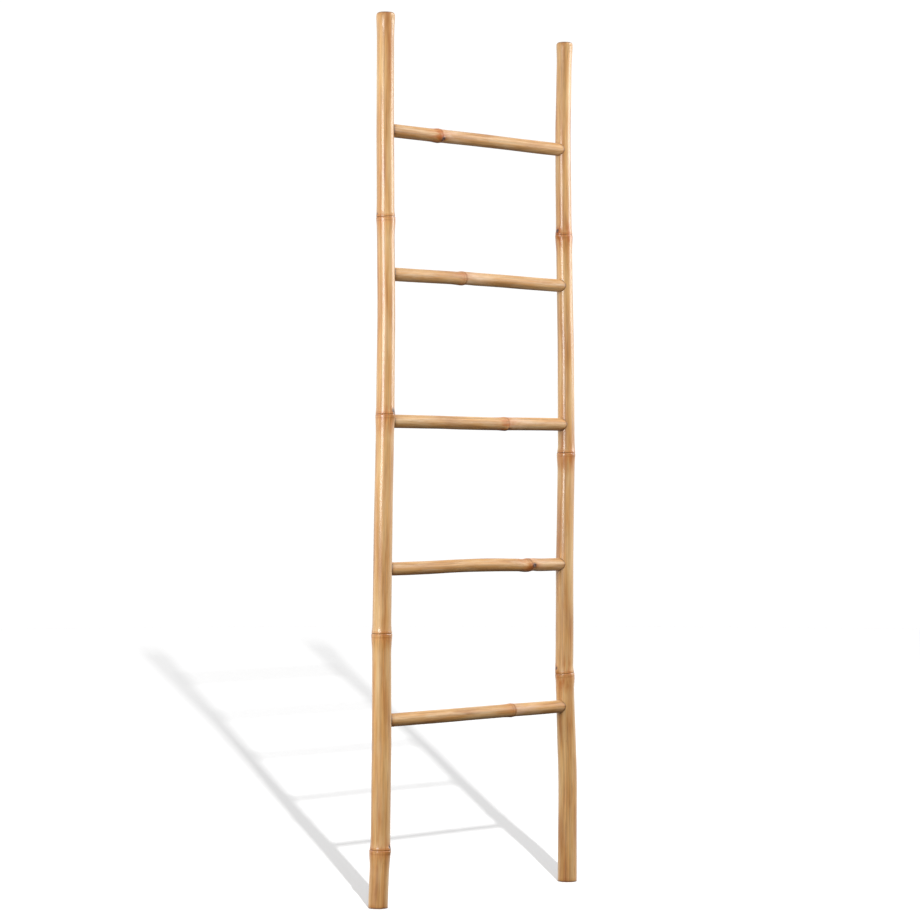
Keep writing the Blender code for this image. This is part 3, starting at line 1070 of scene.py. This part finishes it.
build_skin(
    pole_skin, ("#c28244", "#dea866", "#ecc183"), bloom=0.2, dirt=0.45, halo=0.0,
    roughness=0.42, coat=0.6, coat_roughness=0.14, sheen=0.25,
)
build_skin(
    rung_skin, ("#b57b3c", "#d19a56", "#e2b77d"), bloom=0.4, dirt=0.65, halo=0.45,
    roughness=0.6, coat=0.2, coat_roughness=0.25, sheen=0.12,
)
print("each skin has", len(pole_skin.node_tree.nodes), "shader nodes")

# %% [markdown]
# ## Cut bamboo, beech and split pins
#
# A sawn end shows the fibre bundles end on, as brown dots in pale pith, packed tighter
# towards the rind. Varnish has sealed it and turned it a shade darker. The inner wall is
# a pale, papery membrane. The dowels are turned from beech, which shows short dark
# flecks along the grain, and the pins are split bamboo.

# %% The plain woods
def build_wood(material, ground, mark, spacing, edges, roughness):
    """Marks on a ground. spacing is their size in mm along X, Y and Z."""
    material.use_nodes = True
    tree = material.node_tree
    shader = tree.nodes["Principled BSDF"]
    place = add(tree, "TexCoord").node.outputs["Object"]
    scale = tuple(1 / (size * MM) for size in spacing)
    cells = add(tree, "VectorMath", {0: place, 1: scale}, operation="MULTIPLY")
    marks = add(tree, "TexVoronoi", {"Vector": cells, "Scale": 1.0})
    marks = add(tree, "MapRange", {"Value": marks, "From Min": edges[0], "From Max": edges[1],
                                   "To Min": 0.8, "To Max": 0.0})
    clouding = add(tree, "TexNoise", {"Vector": cells, "Scale": 0.15, "Detail": 3.0})
    shade = add(tree, "MapRange", {"Value": clouding, "From Min": 0.3, "From Max": 0.7,
                                   "To Min": 0.85, "To Max": 1.1})
    colour = add(tree, "Mix", {"Factor": marks, "A": linear(ground), "B": linear(mark)},
                 data_type="RGBA")
    colour = add(tree, "VectorMath", {0: colour, "Scale": shade}, operation="SCALE")
    tree.links.new(colour, shader.inputs["Base Color"])
    bump = add(tree, "Bump", {"Height": marks, "Strength": 0.4, "Distance": 0.1 * MM})
    tree.links.new(bump, shader.inputs["Normal"])
    shader.inputs["Roughness"].default_value = roughness


build_wood(sawn_end, "#c49a66", "#7c5230", (0.9, 0.9, 0.9), (0.25, 0.42), 0.45)
build_wood(inner_wall, "#dcc697", "#c4a871", (0.8, 0.8, 14), (0.2, 0.5), 0.75)
build_wood(beech, "#cfae7e", "#9a7348", (2.8, 0.5, 0.5), (0.12, 0.2), 0.6)
build_wood(split_pin, "#b98a52", "#80552c", (0.5, 8, 0.5), (0.2, 0.45), 0.5)

for number in range(1, RUNG_COUNT + 1):
    for side in SIDES:
        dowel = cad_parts[f"dowel_{number}_{side}"]
        for slot in dowel.material_slots:
            slot.material = beech
print("every piece has its finish")

# %% [markdown]
# ## The studio
#
# Bamboo's varnish is only seen through what it mirrors, so the lamps matter as much as
# the material. A softbox to the left of the camera draws the bright line down the upper
# part of each pole, and a weak one beyond it opens the left-hand edges. Two more, far
# round to the right, brighten the right-hand edges and, from high up, the tops of the
# rungs. The room is white behind the rack, like a backdrop, and dim below, so that the
# undersides of the rungs go dark.
#
# The floor is a plain white disc that the rack neither mirrors nor takes light from. The
# long, faint shadow on it comes from a lamp that lights nothing else. That lamp is small
# and far away, which keeps the edges of the shadow soft but clear, and its light doesn't
# weaken with distance, so the disc is white as far as it can be seen.

# %% The room
CAMERA_AZIMUTH = -46  # degrees round from the front, to the left


def heading(azimuth):
    """The way from the rack to something seen at this azimuth, level."""
    angle = math.radians(azimuth)
    return Vector((math.sin(angle), -math.cos(angle), 0))


def build_room():
    """White to the camera. To the rack, dim below, with a white backdrop behind it."""
    room = bpy.data.worlds.new("white room")
    scene.world = room
    room.use_nodes = True
    tree = room.node_tree
    direction = add(tree, "TexCoord").node.outputs["Generated"]
    height = add(tree, "SeparateXYZ", {"Vector": direction}).node.outputs["Z"]
    height = add(tree, "MapRange", {"Value": height, "From Min": -1.0, "From Max": 1.0})
    dim = add(tree, "ValToRGB", {"Fac": height}, ramp=(
        (0.0, "#251e16"), (0.42, "#473d31"), (0.54, "#bab8b5"), (1.0, "#eeeeef"),
    ))
    backwards = add(tree, "VectorMath", {0: direction, 1: -heading(CAMERA_AZIMUTH)},
                    operation="DOT_PRODUCT").node.outputs["Value"]
    backdrop = add(tree, "MapRange", {"Value": backwards, "From Min": -0.1, "From Max": 0.8})
    above = add(tree, "MapRange", {"Value": height, "From Min": 0.27, "From Max": 0.43})
    backdrop = add(tree, "Math", {0: backdrop, 1: above}, operation="MULTIPLY")
    light = add(tree, "Mix", {"Factor": backdrop, "A": dim, "B": linear("#fafafa")},
                data_type="RGBA")
    seen = add(tree, "LightPath").node.outputs["Is Camera Ray"]
    light = add(tree, "Mix", {"Factor": seen, "A": light, "B": (1.05, 1.05, 1.05, 1)},
                data_type="RGBA")
    tree.links.new(light, tree.nodes["Background"].inputs["Color"])


build_room()
scene.view_settings.view_transform = "Standard"
print("the room is", scene.world.name)

# %% The floor
FLOOR_RADIUS = 8.2
FLOOR_SET_BACK = 1.6  # its middle is behind the rack, for the far edge to be out of sight

pick_none()
bpy.ops.mesh.primitive_circle_add(
    vertices=96, radius=FLOOR_RADIUS, fill_type="NGON",
    location=-heading(CAMERA_AZIMUTH) * FLOOR_SET_BACK,
)
floor = bpy.context.object
floor.name = "floor"
floor.visible_diffuse = False
floor.visible_glossy = False
paint = bpy.data.materials.new("matt white paint")  # even and without a shine
paint.use_nodes = True
coating = paint.node_tree.nodes["Principled BSDF"]
coating.inputs["Base Color"].default_value = linear("#f6f6f6")
coating.inputs["Roughness"].default_value = 0.9
floor.data.materials.append(paint)
print("floor", round(2 * FLOOR_RADIUS, 1), "m across")

# %% The lamps
not_floor = bpy.data.collections.new("everything but the floor")
not_floor.objects.link(floor)
not_floor.collection_objects[0].light_linking.link_state = "EXCLUDE"
only_floor = bpy.data.collections.new("only the floor")
only_floor.objects.link(floor)


def add_softbox(name, azimuth, distance, height, size, watts):
    """An upright panel of light, facing the rack."""
    pick_none()
    place = heading(azimuth) * distance + Vector((0, 0, height))
    bpy.ops.object.light_add(type="AREA", location=place)
    lamp = bpy.context.object
    lamp.name = name
    lamp.rotation_euler = (-heading(azimuth)).to_track_quat("-Z", "Y").to_euler()
    lamp.data.shape = "RECTANGLE"
    lamp.data.size, lamp.data.size_y = size
    lamp.data.energy = watts
    lamp.light_linking.receiver_collection = not_floor
    return lamp


add_softbox("left softbox", CAMERA_AZIMUTH - 32, 3.0, 1.24, (1.4, 0.94), 56)
add_softbox("right softbox", CAMERA_AZIMUTH + 101, 2.6, 1.38, (1.7, 0.9), 33)
add_softbox("edge softbox", CAMERA_AZIMUTH - 92, 2.6, 1.1, (1.9, 1.7), 9)
add_softbox("high softbox", CAMERA_AZIMUTH + 95, 2.2, 2.75, (1.8, 0.9), 40)

shadow_lamp = add_softbox("shadow lamp", CAMERA_AZIMUTH + 7.3, 7.12, 2.85, (0.1, 0.2), 10)
shadow_lamp.light_linking.receiver_collection = only_floor
shadow_lamp.data.use_nodes = True
tree = shadow_lamp.data.node_tree
even = add(tree, "LightFalloff", {"Strength": 1.7}).node.outputs["Constant"]
tree.links.new(even, tree.nodes["Emission"].inputs["Strength"])

# %% [markdown]
# ## The camera
#
# It stands 5.2 m away at about half the rack's height, level, so the poles stay upright
# in the picture. A long lens lets it fill the frame from there, and the far pole is only
# a little smaller than the near one. A small shift moves the whole picture, as moving a
# view camera's back would, without tipping the poles.

# %% The camera
CAMERA_DISTANCE = 5.222
CAMERA_HEIGHT = 0.7135
ASIDE = 27 * MM  # the camera looks past the middle of the rack by this much
LENS = 118  # mm, as is the sensor
SENSOR_WIDTH = 36
SHIFT = 0.0239

away = -heading(CAMERA_AZIMUTH)
rightwards = away.cross(Vector((0, 0, 1)))
pick_none()
bpy.ops.object.camera_add(
    location=heading(CAMERA_AZIMUTH) * CAMERA_DISTANCE - rightwards * ASIDE
    + Vector((0, 0, CAMERA_HEIGHT)),
    rotation=(math.radians(90), 0, math.radians(CAMERA_AZIMUTH)),
)
camera = bpy.context.object
camera.data.lens = LENS
camera.data.sensor_width = SENSOR_WIDTH
camera.data.shift_y = SHIFT
scene.camera = camera
print("camera at", [round(v, 3) for v in camera.location])
